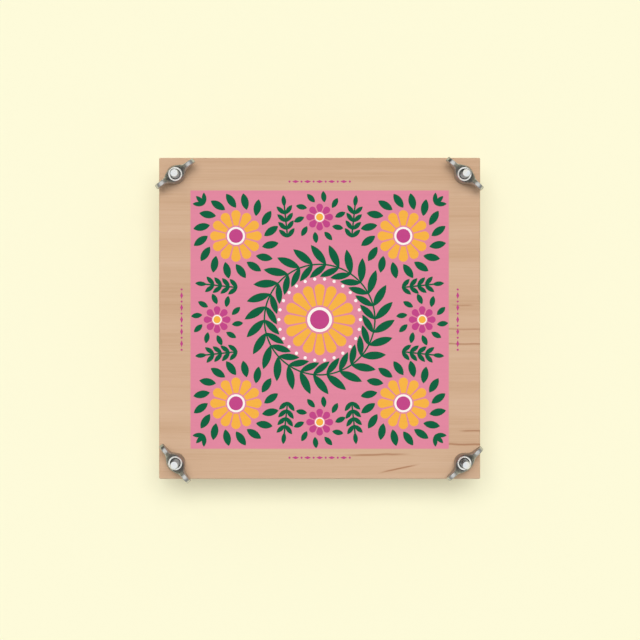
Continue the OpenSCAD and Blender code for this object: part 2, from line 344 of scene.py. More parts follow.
def finish_with(node, material):
    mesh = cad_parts[node].data
    mesh.materials.clear()
    mesh.materials.append(material)
    mesh.polygons.foreach_set("material_index", np.zeros(len(mesh.polygons), np.int32))


print(len(bpy.data.materials), "materials so far, those of the plain solids among them")

# %% [markdown]
# The boards are birch plywood: seven thin sheets peeled from a log, glued with the grain of each
# across the next, and sanded. On the sawn edges the sheets show as stripes, by turns light along
# the grain and darker across it, with a thin line of glue between. A picture of wood could be laid
# on each face, but it would break off at every edge. Here the pattern is drawn from the place in
# the board alone, so it runs round the edges and through the holes as it does in wood. The first
# step is to tell in which sheet each point lies, and whether its face was sawn.

# %% The sheets in plywood
BLACK = "#000000"
PLY_JOINTS = [0.115, 0.275, 0.42, 0.58, 0.725, 0.885]
GLUE_HALF_W = 0.007
WAVER_MM, WAVER = (14, 14, 3), 0.012
SAWN_BELOW = 0.6


def stripes(tree, depth):
    """Which sheets lie across, and where the glue is."""
    lying = [(0.0, BLACK)] + [(p, BLACK if i % 2 else WHITE) for i, p in enumerate(PLY_JOINTS)]
    across = ramp(tree, depth, lying)
    across.color_ramp.interpolation = "CONSTANT"
    lines = [(p + side * GLUE_HALF_W, BLACK if side else WHITE)
             for p in PLY_JOINTS for side in (-1, 0, 1)]
    return across, ramp(tree, depth, lines)


def ply_sheets(tree, here, z, underside, seed):
    """The depth of a point as a share, and, for sawn faces alone, whether its sheet lies across,
    whether it shows end grain, and whether it is glue."""
    facing = add(tree, "SeparateXYZ", {0: add(tree, "TexCoord").outputs["Normal"]})
    steep = [calc(tree, "ABSOLUTE", facing.outputs[axis]) for axis in "XYZ"]
    sawn = calc(tree, "LESS_THAN", steep[2], SAWN_BELOW)
    facing_x = calc(tree, "GREATER_THAN", steep[0], steep[1])
    depth = add(tree, "MapRange", {"Value": z, "From Min": underside,
                                   "From Max": underside + board_t})
    depth = calc(tree, "ADD", depth, either_way(tree, pattern(tree, here, WAVER_MM, seed), WAVER))
    across, glue = stripes(tree, depth)
    across = times(tree, across, sawn)
    end_grain = calc(tree, "ABSOLUTE", calc(tree, "SUBTRACT", facing_x, across))
    return depth, across, times(tree, end_grain, sawn), times(tree, glue, sawn)


print("plywood of", len(PLY_JOINTS) + 1, "sheets")

# %% [markdown]
# Here and there a birch takes up minerals, which leave brown streaks along the grain. The picture
# shows seven, near the upper board's right and front edges. Noise would put them anywhere, so each
# is written as a line with a place, a length and a width. It fades at its ends, and all of them
# sway together, because they follow the same growth lines. Only the top sheet has them.

# %% Mineral streaks
STREAK_BROWN = "#A0663F"
SWAY_MM, SWAY = (16, 1000, 1000), 0.9
# Each row has x at both ends, y, slope, half the width, all in mm, and strength
UPPER_STREAKS = [(75, 85, 7.4, 0.0, 0.7, 0.6), (62, 96, -6.1, 0.0, 0.8, 0.6),
                 (60, 98, -14.3, 0.0, 0.8, 0.8), (80, 93, -63.0, 0.0, 0.8, 0.75),
                 (64, 98, -70.6, 0.0, 1.0, 0.9), (18, 47, -76.5, 0.01, 0.9, 0.85),
                 (36, 53, -86.2, 0.23, 0.75, 0.95)]
LOWER_STREAKS = [(-70, -20, 31.0, 0.02, 0.9, 0.6), (5, 60, -44.0, -0.01, 1.0, 0.7),
                 (40, 92, 12.0, 0.0, 0.8, 0.5)]


def streak(tree, xyz, sway, start, end, y, slope, half_w):
    x, middle = xyz["X"], y - slope * start
    line = calc(tree, "ADD", calc(tree, "MULTIPLY_ADD", x, slope, middle), sway)
    off = calc(tree, "ABSOLUTE", calc(tree, "SUBTRACT", xyz["Y"], line))
    fade = (end - start) / 4
    ends = times(tree, between(tree, x, start - fade, start + fade),
                 between(tree, x, end + fade, end - fade))
    return times(tree, between(tree, off, half_w, 0.0), ends)


def with_streaks(tree, wood, here, xyz, depth, lines, seed, streaks):
    sway = either_way(tree, pattern(tree, here, SWAY_MM, seed), SWAY)
    top_sheet = calc(tree, "GREATER_THAN", depth, PLY_JOINTS[-1])
    for *shape, strength in streaks:
        mark = times(tree, streak(tree, xyz, sway, *shape), top_sheet)
        mark = times(tree, mark, between(tree, lines, 0.3, 0.6, strength, strength * 0.8))
        wood = mix(tree, mark, wood, linear(STREAK_BROWN))
    return wood


print(len(UPPER_STREAKS), "streaks above and", len(LOWER_STREAKS), "below")

# %% [markdown]
# From above, sanded birch is pale and nearly plain, with soft bands, fine lines and short pores.
# Each of these is a pattern of its own size. Together they give the tone, and the tone gives the
# colour. Where end grain shows, the fibres are cut through, so a pattern of small round cells
# takes the lines' place and darkens the wood.

# %% Sanded birch plywood
WOOD_LIGHT, WOOD_MID, WOOD_DARK = "#D9B799", "#D2AE8E", "#C8A280"
WOOD_END, GLUE_BROWN = "#AC8259", "#7B5434"
BANDS_MM, FINE_MM, CELLS_MM = (260, 9, 9), (9, 0.22, 0.22), (0.4, 0.4, 0.4)
LINE_SHARE, PORE_SHARE, GLUE_SHARE = 0.45, 0.16, 0.7
UPPER_SEED, LOWER_SEED = 3.1, 8.6


def birch_plywood(name, underside, seed, streaks):
    material, tree, here = new_material(name)
    xyz = add(tree, "SeparateXYZ", {0: here}).outputs
    depth, across, end_grain, glue = ply_sheets(tree, here, xyz["Z"], underside, seed)
    turned = add(tree, "CombineXYZ", {0: xyz["Y"], 1: xyz["X"], 2: xyz["Z"]})
    along = mix(tree, across, here, turned, "VECTOR")
    lines = long_grain(tree, along, seed)
    bands = pattern(tree, along, BANDS_MM, seed + 1, 3.0)
    fine = pattern(tree, along, FINE_MM, seed + 2)
    pores = between(tree, fine, 0.62, 0.78)
    cells = pattern(tree, here, CELLS_MM, seed + 3, 3.0)

    tone = calc(tree, "MULTIPLY_ADD", lines, LINE_SHARE, times(tree, bands, 1 - LINE_SHARE))
    wood = ramp(tree, tone, [(0.33, WOOD_DARK), (0.5, WOOD_MID), (0.68, WOOD_LIGHT)])
    wood = mix(tree, times(tree, pores, PORE_SHARE), wood, linear(WOOD_END))
    ends = times(tree, end_grain, between(tree, cells, 0.2, 0.8, 0.35, 0.95))
    wood = mix(tree, ends, wood, linear(WOOD_END))
    wood = mix(tree, times(tree, glue, GLUE_SHARE), wood, linear(GLUE_BROWN))
    wood = with_streaks(tree, wood, here, xyz, depth, lines, seed + 4, streaks)

    relief = mix(tree, end_grain, calc(tree, "SUBTRACT", lines, pores), cells, "FLOAT")
    surface(tree, wood, between(tree, fine, 0.3, 0.7, 0.52, 0.66), relief, 0.5, 0.07)
    return material


upper_plywood = birch_plywood("sanded_birch_plywood_upper", upper_z, UPPER_SEED, UPPER_STREAKS)
lower_plywood = birch_plywood("sanded_birch_plywood_lower", 0.0, LOWER_SEED, LOWER_STREAKS)
finish_with("top_board", upper_plywood)
finish_with("bottom_board", lower_plywood)
print("the upper board's wood has", len(upper_plywood.node_tree.nodes), "nodes")

# %% [markdown]
# The pattern on the upper board is screen-printed: a squeegee presses ink through a mesh, one
# colour after another, and it dries to a thin matt film. Such a film hides the wood's colour but
# not its relief, so the ink's bump uses the same grain as the board under it. Its colour is a
# little uneven, because wood drinks more ink in one place than in another.

# %% Screen-printed ink
INKS = {"pink": "#E489A1", "green": "#0C603E", "yellow": "#F9B546", "white": "#FFF6F0",
        "magenta": "#C54889"}
INK_GLOSS, INK_SHADE = 0.2, 0.62
INK_CLOUD_MM, FILM_MM = (18, 7, 7), (0.5, 0.5, 0.5)


def screen_ink(name, code):
    material, tree, here = new_material(name)
    lines = long_grain(tree, here, UPPER_SEED)
    cloud = pattern(tree, here, INK_CLOUD_MM, 5.0, 4.0)
    drunk = times(tree, between(tree, lines, 0.35, 0.75),
                  between(tree, cloud, 0.3, 0.75, 0.04, 0.16))
    dark = [c * INK_SHADE for c in linear(code)[:3]] + [1.0]
    film = times(tree, pattern(tree, here, FILM_MM, 6.0), 0.35)
    surface(tree, mix(tree, drunk, linear(code), dark), between(tree, cloud, 0.2, 0.8, 0.68, 0.8),
            calc(tree, "ADD", lines, film), 0.35, 0.05, Specular_IOR_Level=INK_GLOSS)
    return material


for ink, code in INKS.items():
    finish_with("print_" + ink, screen_ink("screen_ink_" + ink, code))
print(len(INKS), "inks")

# %% [markdown]
# The cards between the flowers are corrugated board, made of brown kraft paper. Kraft is unbleached
# pulp, so short fibres of several browns lie in it in all directions. The flat papers are glued to
# the wavy one only along its crests, and the faint ripple that this leaves in them shows as stripes
# of light and shade. That shade is painted into the colour, besides a faint bump. A cosine with the
# wave's own length draws the stripes, so they lie over the crests that are modelled further on.

# %% Kraft paper
CARD_WAVE_MM = 6.5
KRAFT_LIGHT, KRAFT_MID, KRAFT_DARK = "#C9A274", "#B68D5F", "#98703F"
CREST_SHADE_AND_BUMP = 0.02


def paper_fibres(tree, here, length, width, seed):
    """Short fibres, some along x and some along y."""
    ways = [pattern(tree, here, size, seed + i, Distortion=0.4)
            for i, size in enumerate([(length, width, width), (width, length, width)])]
    return calc(tree, "MAXIMUM", *ways)


def brown_kraft(name, crest_shade_and_bump):
    material, tree, here = new_material(name)
    fibres = paper_fibres(tree, here, 2.2, 0.3, 20.0)
    cloud = pattern(tree, here, (24, 24, 24), 22.0, 5.0)
    tone = calc(tree, "MULTIPLY_ADD", fibres, 0.6, times(tree, cloud, 0.4))
    x = add(tree, "SeparateXYZ", {0: here}).outputs["X"]
    crest = calc(tree, "COSINE", times(tree, x, 2 * math.pi / CARD_WAVE_MM))
    # Painted shade of the ripple: stripes lighter and darker by turns, along with the bump.
    tone = calc(tree, "MULTIPLY_ADD", crest, crest_shade_and_bump, tone)
    colour = ramp(tree, tone, [(0.36, KRAFT_DARK), (0.52, KRAFT_MID), (0.68, KRAFT_LIGHT)])
    relief = calc(tree, "MULTIPLY_ADD", crest, crest_shade_and_bump * 8, fibres)
    surface(tree, colour, 0.82, relief, 0.5, 0.08)
    return material


liner_kraft = brown_kraft("kraft_liner_paper", CREST_SHADE_AND_BUMP)
core_kraft = brown_kraft("kraft_core_paper", 0.0)
print("crests show every", CARD_WAVE_MM, "mm")

# %% [markdown]
# Blotting paper is pressed from cotton pulp without any sizing: nearly white, soft, and as rough as
# felt. Its fibres are finer than the card's, their relief is deeper, and a little sheen stands for
# the loose ends that catch the light.

# %% Blotting paper
BLOTTER_LIGHT, BLOTTER_DARK = "#F6F1E4", "#E2DAC6"


def cotton_blotter():
    material, tree, here = new_material("pressed_cotton_blotter")
    felt = paper_fibres(tree, here, 1.6, 0.25, 30.0)
    cloud = pattern(tree, here, (30, 30, 30), 32.0, 5.0)
    tone = calc(tree, "MULTIPLY_ADD", felt, 0.5, times(tree, cloud, 0.5))
    colour = ramp(tree, tone, [(0.35, BLOTTER_DARK), (0.6, BLOTTER_LIGHT)])
    surface(tree, colour, 0.92, felt, 0.7, 0.1, Sheen_Weight=0.15)
    return material


blotter_paper = cotton_blotter()
print("blotting paper,", len(blotter_paper.node_tree.nodes), "nodes")

# %% [markdown]
# Screws and washers are steel with a thin coat of zinc. The bath leaves it bright, and a last dip
# gives a film that turns the light slightly blue and yellow. The film needs no layer of its own: in
# a metal all the colour is in what it mirrors, so soft clouds of three pale tints do. Fine marks
# along the axis, left by the rolling and the bath, spread the light a little.

# %% Bright zinc on steel
ZINC_LIGHT, ZINC_BLUE, ZINC_YELLOW = "#EBECEA", "#DFE4E8", "#E8E5DA"


def bright_zinc():
    material, tree, here = new_material("bright_zinc_on_steel")
    cloud = pattern(tree, here, (3.2, 3.2, 3.2), 40.0, 3.0)
    film = ramp(tree, cloud, [(0.35, ZINC_BLUE), (0.5, ZINC_LIGHT), (0.66, ZINC_YELLOW)])
    marks = pattern(tree, here, (0.12, 0.12, 1.5), 41.0, 3.0)
    rough = between(tree, marks, 0.3, 0.75, 0.22, 0.38)
    surface(tree, film, rough, marks, 0.25, 0.01, Metallic=1.0)
    return material


zinc_on_steel = bright_zinc()
print("zinc on steel,", len(zinc_on_steel.node_tree.nodes), "nodes")

# %% [markdown]
# Nuts of this kind are cast and then tumbled, so their zinc lies on a skin of fine pits and looks
# darker, apart from two places: the ring round the thread is turned flat and shines, and fingers
# polish the tops of the wings. The wings' tops are also made lighter in colour than polish alone
# would make them, as a painted highlight of the bright ceiling that they face. Each place could
# have a material of its own. One is enough here, because the height and the distance from the axis
# tell where a point lies.

# %% Cast and tumbled zinc
# The third colour is for the wing tops: partly polish, partly a painted highlight.
CAST_DARK, CAST_MID, CAST_POLISH_AND_HIGHLIGHT, TURNED_BRIGHT = "#A3A4A2", "#BBBBB8", "#D6D6D3", "#F4F4F1"
NUT_TOP_MM, NUT_FACE_R_MM, WING_TOP_MM = 6.5, 3.85, 13.0
POLISH_AND_HIGHLIGHT_FROM_MM, POLISH_AND_HIGHLIGHT_FULL_MM = WING_TOP_MM - 3.4, WING_TOP_MM - 0.6
CAST_ROUGH, WORN_ROUGH, TURNED_ROUGH = 0.5, 0.34, 0.24
LATHE_STEP_MM = 0.16


def cast_zinc():
    material, tree, here = new_material("cast_and_tumbled_zinc")
    z = add(tree, "SeparateXYZ", {0: here}).outputs["Z"]
    flat = add(tree, "VectorMath", {0: here, 1: (1, 1, 0)}, operation="MULTIPLY")
    radius = add(tree, "VectorMath", {0: flat}, operation="LENGTH").outputs["Value"]
    turned = times(tree, calc(tree, "GREATER_THAN", z, NUT_TOP_MM - 0.06),
                   calc(tree, "LESS_THAN", radius, NUT_FACE_R_MM))

    skin = pattern(tree, here, (0.55, 0.55, 0.55), 50.0, 4.0)
    cloud = pattern(tree, here, (4, 4, 4), 51.0, 3.0)
    # Wing tops lighter with height: partly polish by fingers, partly a painted highlight.
    polish_and_highlight = times(tree, between(tree, z, POLISH_AND_HIGHLIGHT_FROM_MM, POLISH_AND_HIGHLIGHT_FULL_MM),
                 between(tree, cloud, 0.25, 0.6, 0.55, 1.0))
    cast = ramp(tree, cloud, [(0.35, CAST_DARK), (0.65, CAST_MID)])
    cast = mix(tree, polish_and_highlight, cast, linear(CAST_POLISH_AND_HIGHLIGHT))
    colour = mix(tree, turned, cast, linear(TURNED_BRIGHT))
    rough = mix(tree, polish_and_highlight, CAST_ROUGH, WORN_ROUGH, "FLOAT")
    rough = mix(tree, turned, rough, TURNED_ROUGH, "FLOAT")
    rings = calc(tree, "SINE", times(tree, radius, 2 * math.pi / LATHE_STEP_MM))
    relief = mix(tree, turned, skin, times(tree, rings, 0.06), "FLOAT")
    surface(tree, colour, rough, relief, 0.6, 0.06, Metallic=1.0)
    return material


nut_zinc = cast_zinc()
print("cast zinc,", len(nut_zinc.node_tree.nodes), "nodes")

# %% [markdown]
# Where a solid is too plain, a new mesh takes its place. It rides on the same body, so it moves
# with the joints. The meshes are drawn by number, not by hand, and numbers leave points that fall
# together and faces that look inwards. One function mends that, and one tells smooth edges from
# sharp ones by their angle.

# %% Place and mend a new piece
MERGE_MM, NO_LENGTH_MM = 0.002, 0.001
SHARP_DEG = 32


def new_piece(name, mesh, materials, body, slot, place_mm=(0, 0, 0), turn_deg=0.0):
    piece = in_scene(name, mesh)
    piece.location = Vector(place_mm) * MM
    piece.rotation_euler.z = math.radians(turn_deg)
    for material in materials:
        mesh.materials.append(material)
    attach(piece, body)
    return piece


def outward(mesh, merge=False):
    """Turns all faces outwards, and with merge also joins the points that fall together."""
    work = bmesh.new()
    work.from_mesh(mesh)
    if merge:
        bmesh.ops.remove_doubles(work, verts=work.verts, dist=MERGE_MM * MM)
        bmesh.ops.dissolve_degenerate(work, edges=work.edges, dist=NO_LENGTH_MM * MM)
    bmesh.ops.recalc_face_normals(work, faces=work.faces)
    work.to_mesh(mesh)
    work.free()
    return mesh


def smoothed(mesh, sharp_deg):
    """Shades a mesh smoothly, apart from the edges that bend by more than sharp_deg."""
    mesh.shade_smooth()
    mesh.set_sharp_from_angle(angle=math.radians(sharp_deg))
    return mesh


print("points closer than", MERGE_MM, "mm become one")

# %% [markdown]
# Bolts, washers and taps are all turned round an axis. One function makes such a mesh from rows:
# each row has a height and a radius, and either may change on the way round. That is enough for a
# dome, a square neck and even a thread, whose rows climb as they go round. The ends of a climbing
# row don't meet, so the mesh is closed by merging the points that fall together.

# %% A function for turned pieces
AROUND = 48
turn = np.linspace(0, 2 * math.pi, AROUND + 1)


def turned_mesh(name, rows, centre=(0, 0, 0)):
    """A closed mesh from rows of height and radius in mm, a number or one value for each step."""
    points = []
    for height, radius in rows:
        height, radius = np.broadcast_to(height, turn.shape), np.broadcast_to(radius, turn.shape)
        points.append(np.stack([radius * np.cos(turn), radius * np.sin(turn), height], 1))
    points = (np.concatenate(points) + np.array(centre)) * MM
    steps = AROUND + 1
    faces = [(k, k + 1, k + 1 + steps, k + steps)
             for r in range(len(rows) - 1) for k in range(r * steps, r * steps + AROUND)]
    mesh = bpy.data.meshes.new(name)
    mesh.from_pydata(points.tolist(), [], faces)
    return smoothed(outward(mesh, merge=True), SHARP_DEG)


print(AROUND, "steps round each turned piece")

# %% [markdown]
# A washer is punched from sheet. The punch rounds the edges on one face and leaves the other sharp,
# which is why washers have a right way up. The roundings are written as steps from the hole and
# the rim, so they keep their size if the washer gets another.

# %% Punched washers
WASHER_R, WASHER_HOLE_R, WASHER_T = 5.0, 2.65, 1.0
HOLE_STEPS = [(0.0, 0.04), (0.04, 0.0), (WASHER_T - 0.16, 0.0), (WASHER_T - 0.05, 0.04),
              (WASHER_T, 0.16)]
RIM_STEPS = [(WASHER_T, -0.24), (WASHER_T - 0.03, -0.12), (WASHER_T - 0.12, -0.03),
             (WASHER_T - 0.24, 0.0), (0.03, 0.0), (0.0, -0.03)]

washer_rows = [(z, r + step) for r, steps in ((WASHER_HOLE_R, HOLE_STEPS), (WASHER_R, RIM_STEPS))
               for z, step in steps]
washer_rows.append(washer_rows[0])
for corner, place in bolt_places.items():
    low = box_mm("washer_" + corner)[0][2]
    mesh = turned_mesh("punched_washer", washer_rows, (*place, low))
    washer = new_piece("punched_washer_" + corner, mesh, [zinc_on_steel], "upper_board",
                       "zinc_steel")
    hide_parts("washer_" + corner)
print("washers", 2 * WASHER_R, "mm wide and", WASHER_T, "mm thick")

# %% [markdown]
# The thread is an M5: it climbs 0.8 mm in each turn, to the right. Its outline is written once, as
# shares of one turn's climb and depths below the crest. Bolt and nut have to fit each other at rest
# and wherever the nut is turned, so both use the same outline and the thread's start follows from
# how far each nut stands turned.

# %% The thread's outline
PITCH, THREAD_R = 0.8, 2.5
THREAD_ROWS = [(-0.05, 0.01), (0.05, 0.01), (0.1, 0.07), (0.36, 0.44), (0.5, 0.49), (0.64, 0.44),
               (0.9, 0.07)]
NUT_TURNS_DEG = {"front_left": -53, "front_right": 43, "back_left": 36, "back_right": -41}


def thread_rows(low, high, start, limit, extra=0.0):
    """Climbing rows from low to high. start is a height at which a crest crosses the x axis,
    limit changes the radius by the height, and extra makes the thread wider."""
    rows = []
    first = math.floor((low - start) / PITCH) - 2
    last = math.ceil((high - start) / PITCH) + 1
    for lap in range(first, last + 1):
        for share, depth in THREAD_ROWS:
            height = start + (lap + share) * PITCH + PITCH * turn / (2 * math.pi)
            if (height + PITCH).max() < low:
                continue
            height = np.clip(height, low, high)
            rows.append((height, limit(height, np.full(turn.shape, THREAD_R + extra - depth))))
    return rows


print("thread M5,", PITCH, "mm in each turn")

# %% [markdown]
# A coach bolt, also called a carriage bolt, has a low domed head and a square neck that keeps it
# from turning in the wood. It is forged in one heat and its thread is rolled on, which rounds the
# thread's root and leaves a plain collar over the neck. The far end has a small chamfer, so that a
# nut finds its way on. Head, neck and thread are rows one above the other, so the bolt is one mesh
# without a seam. Head and neck come first.

# %% The bolt's head and neck
HEAD_R, HEAD_H, HEAD_RIM, HEAD_LOW = 6.5, 3.0, 0.6, 0.3
NECK_HALF, NECK_H, NECK_CORNER, NECK_CHAMFER = 2.65, 3.5, 0.35, 0.25
COLLAR_R, COLLAR_H = 2.25, 0.6
DOME_ROWS = 12

neck_z = HEAD_LOW + HEAD_H
neck_top = neck_z + NECK_H
collar_z = neck_top + COLLAR_H


def head_rows():
    """The dome from its middle outwards, the rim, and the flat under the head."""
    rise = HEAD_H - HEAD_RIM
    ball = (HEAD_R ** 2 + rise ** 2) / (2 * rise)
    rows = [(HEAD_LOW + ball - math.sqrt(ball ** 2 - r ** 2), r)
            for r in np.linspace(0, HEAD_R, DOME_ROWS + 1)[:-1]]
    rim_z = HEAD_LOW + rise
    return rows + [(rim_z - 0.06, HEAD_R - 0.09), (rim_z + 0.08, HEAD_R), (neck_z - 0.12, HEAD_R),
                   (neck_z - 0.03, HEAD_R - 0.04), (neck_z, HEAD_R - 0.14)]


def neck_rows():
    """A square with rounded corners, as far as it reaches in each direction, and the collar."""
    reach = NECK_HALF / np.maximum(np.abs(np.cos(turn)), np.abs(np.sin(turn)))
    neck = np.minimum(reach, (NECK_HALF - NECK_CORNER) * math.sqrt(2) + NECK_CORNER)
    return [(neck_z, neck), (neck_top - NECK_CHAMFER, neck), (neck_top, neck - NECK_CHAMFER),
            (neck_top + 0.2, COLLAR_R + 0.1), (collar_z, COLLAR_R)]


print("head and neck have", len(head_rows() + neck_rows()), "rows")

# %% [markdown]
# Each bolt gets its own thread. The nuts stand turned by different angles and all come from one
# mesh, so the bolts' threads have to start where the nuts' do. At the lower end the rolled thread
# fades in over the collar, and at the tip the chamfer takes it off.

# %% Thread the bolts
TIP_R, TIP_H, TIP_EDGE = 2.0, 0.5, 0.12
CREST_AT_NUT_FOOT = 0.1
bolt_top = box_mm("carriage_bolt_front_left")[1][2]


def bolt_limit(height, radius):
    fade = np.clip((height - collar_z) / PITCH, 0, 1)
    radius = COLLAR_R + (radius - COLLAR_R) * fade
    return np.minimum(radius, TIP_R + (bolt_top - height) * (THREAD_R - TIP_R) / TIP_H)


for corner, place in bolt_places.items():
    start = nut_z + CREST_AT_NUT_FOOT - PITCH * NUT_TURNS_DEG[corner] / 360
    rows = head_rows() + neck_rows() + thread_rows(collar_z, bolt_top, start, bolt_limit)
    rows += [(bolt_top, TIP_R - TIP_EDGE), (bolt_top, 0.0)]
    bolt = new_piece("coach_bolt_" + corner, turned_mesh("coach_bolt_" + corner, rows, (*place, 0)),
                     [zinc_on_steel], "press_base", "zinc_steel")
    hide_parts("carriage_bolt_" + corner)
print(f"bolts {bolt_top - HEAD_LOW:.1f} mm long, {len(bolt.data.vertices)} points each")

# %% [markdown]
# A wing nut of this kind is cast: a barrel that widens to its foot, with two ears. Nothing on a
# casting meets at a sharp edge, and every inner corner has a fillet, because sand and metal allow
# nothing else. Box modelling gives such fillets only with a lot of care. Here the shape is written
# as a distance field: a number for every point in space, negative inside the metal. Fields can be
# joined with a smooth minimum, whose width is the fillet in millimetres.

# %% Fields that can be joined
def smooth_least(a, b, width):
    h = np.clip(0.5 + 0.5 * (b - a) / width, 0, 1)
    return b + (a - b) * h - width * h * (1 - h)


def smooth_most(a, b, width):
    return -smooth_least(-a, -b, width)


def taper(x, z, a, ra, b, rb):
    """Distance to the flat shape that two circles of unequal size span."""
    a, b = np.array(a, float), np.array(b, float)
    span = np.linalg.norm(b - a)
    way = (b - a) / span
    u = (x - a[0]) * way[0] + (z - a[1]) * way[1]
    v = np.abs(-(x - a[0]) * way[1] + (z - a[1]) * way[0])
    slope = (ra - rb) / span
    cosine = math.sqrt(1 - slope ** 2)
    k = -slope * v + cosine * u
    flank = cosine * v + slope * u - ra
    beyond = np.where(k > cosine * span, np.hypot(u - span, v) - rb, flank)
    return np.where(k < 0, np.hypot(u, v) - ra, beyond)


print("a fillet 1 mm wide lays", -smooth_least(0.0, 0.0, 1.0), "mm of metal into a corner")

# %% [markdown]
# The nut's barrel is a cone. Its ears are flat blades, cut to a taper that ends in a round lobe,
# and they swell towards the barrel along an arc. They get thinner upwards, so that the mould lets
# go of them. The barrel is cast a little too long, and the lathe takes that off later. A mesh cuts
# across curves, so the ears are drawn wider by what they lose.

# %% The distance field of a wing nut
NUT_STEP = 0.22
FOOT_R, TOP_R, WALL_COSINE = 5.3, 4.0, 0.988
FOOT_SPARE, TOP_SPARE = 0.5, 0.15
ROOT_PLACE, ROOT_R = (4.3, 3.7), 2.7
WING_R, LOBE_R, WING_HALF_T, WING_DRAFT = 13.0, 3.8, 1.3, 0.02
FLARE_REACH, FLARE_HALF_W = 7.2, 4.3
ROUND_EDGE, FILLET, MESH_LOSS = 0.5, 1.2, 0.02
FIELD_HALF, FIELD_Z = (WING_R + 0.5, 6.2), (-0.9, WING_TOP_MM + 0.6)


def nut_field(x, y, z):
    wall = (np.hypot(x, y) - (FOOT_R + (TOP_R - FOOT_R) * z / NUT_TOP_MM)) * WALL_COSINE
    ends = np.maximum(-FOOT_SPARE - z, z - NUT_TOP_MM - TOP_SPARE)
    barrel = smooth_most(wall, ends, ROUND_EDGE)
    lobe = (WING_R - LOBE_R, WING_TOP_MM - LOBE_R)
    side = taper(np.abs(x), z, ROOT_PLACE, ROOT_R, lobe, LOBE_R) - MESH_LOSS
    blade = np.abs(y) - WING_HALF_T - WING_DRAFT * (WING_TOP_MM - z)
    ball = (FLARE_REACH ** 2 + FLARE_HALF_W ** 2) / (2 * FLARE_HALF_W)
    flare = np.hypot(x, np.abs(y) + ball - FLARE_HALF_W) - ball
    wings = smooth_most(side, smooth_least(blade, flare, FILLET), ROUND_EDGE)
    return smooth_least(barrel, wings, FILLET)


axes = [np.arange(-reach, reach + NUT_STEP, NUT_STEP) for reach in FIELD_HALF]
axes.append(np.arange(*FIELD_Z, NUT_STEP))
field = nut_field(*np.meshgrid(*axes, indexing="ij"))
print("a field of", field.size, "numbers,", int((field < 0).sum()), "inside the metal")

# %% [markdown]
# The metal's skin lies where the field changes its sign. A method called surface nets draws it.
# Each small cube that the skin passes through gets one point, in the middle of the places where
# the cube's edges are crossed. numpy does this for all cubes at once, and numbers the points.

# %% The points of the casting's skin
def net_points(field):
    cells = tuple(n - 1 for n in field.shape)
    total, count = np.zeros((*cells, 3)), np.zeros(cells)
    for axis in range(3):
        for corner in ([0, 0], [0, 1], [1, 0], [1, 1]):
            corner.insert(axis, 0)
            far = list(corner)
            far[axis] = 1
            near_value, far_value = [field[tuple(slice(k, k + n) for k, n in zip(end, cells))]
                                     for end in (corner, far)]
            crossed = (near_value < 0) != (far_value < 0)
            fall = np.where(crossed, near_value - far_value, 1)
            share = np.where(crossed, near_value / fall, 0)
            for k in range(3):
                total[..., k] += crossed * corner[k] + (share if k == axis else 0)
            count += crossed
    used = count > 0
    number = np.full(cells, -1)
    number[used] = np.arange(used.sum())
    return np.argwhere(used) + total[used] / count[used][:, None], number


points, number = net_points(field)
points = np.array([axis[0] for axis in axes]) + NUT_STEP * points
print(len(points), "points on the casting's skin")

# %% [markdown]
# Wherever an edge is crossed, the four cubes round it give one face. The field also tells on which
# side of it the metal is, and so in which order its points have to be taken to look outwards.

# %% The faces of the casting's skin
def net_faces(field, number):
    faces = []
    for axis in range(3):
        b, c = [k for k in range(3) if k != axis]
        before, after = [slice(1, -1)] * 3, [slice(1, -1)] * 3
        before[axis], after[axis] = slice(0, -1), slice(1, None)
        inside, beyond = field[tuple(before)] < 0, field[tuple(after)] < 0
        start = np.argwhere(inside != beyond) + [0 if k == axis else 1 for k in range(3)]
        flip = inside[inside != beyond] != (axis == 1)
        around = []
        for db, dc in ((1, 1), (0, 1), (0, 0), (1, 0)):
            cell = start.copy()
            cell[:, b] -= db
            cell[:, c] -= dc
            around.append(number[tuple(cell.T)])
        quads = np.stack(around, 1)
        quads[~flip] = quads[~flip][:, ::-1]
        faces.append(quads)
    return np.concatenate(faces)


faces = net_faces(field, number)
casting = bpy.data.meshes.new("cast_wing_nut")
casting.from_pydata((points * MM).tolist(), [], faces.tolist())
print(len(faces), "faces, each with four points")

# %% [markdown]
# The casting then goes to the lathe, as the real one does. Its foot and the ring at its top are
# faced flat, and a tap cuts the thread with a chamfer at each mouth. These are Boolean modifiers
# with turned cutters, and they leave the only crisp edges on the nut. Each bolt then gets a copy
# of the nut, turned as far as the nut stands there.

# %% Face and tap the nuts
THREAD_GAP, MOUTH = 0.05, 0.5
CUTTER_R, CUTTER_H, RING_CUTTER_H, RING_FLARE = 9, 3, 4, 1.2


def tap_limit(height, radius):
    mouth = THREAD_R + THREAD_GAP + MOUTH
    return np.maximum(radius, np.maximum(mouth - height, mouth + height - NUT_TOP_MM))


def cut_away(piece, rows):
    cutter = in_scene("cutter", turned_mesh("cutter", rows))
    modifier = piece.modifiers.new("cut", "BOOLEAN")
    modifier.operation, modifier.object, modifier.solver = "DIFFERENCE", cutter, "MANIFOLD"
    bpy.context.view_layer.update()
    result = piece.evaluated_get(bpy.context.evaluated_depsgraph_get())
    shape = bpy.data.meshes.new_from_object(result)
    piece.modifiers.clear()
    piece.data = shape
    bpy.data.objects.remove(cutter)


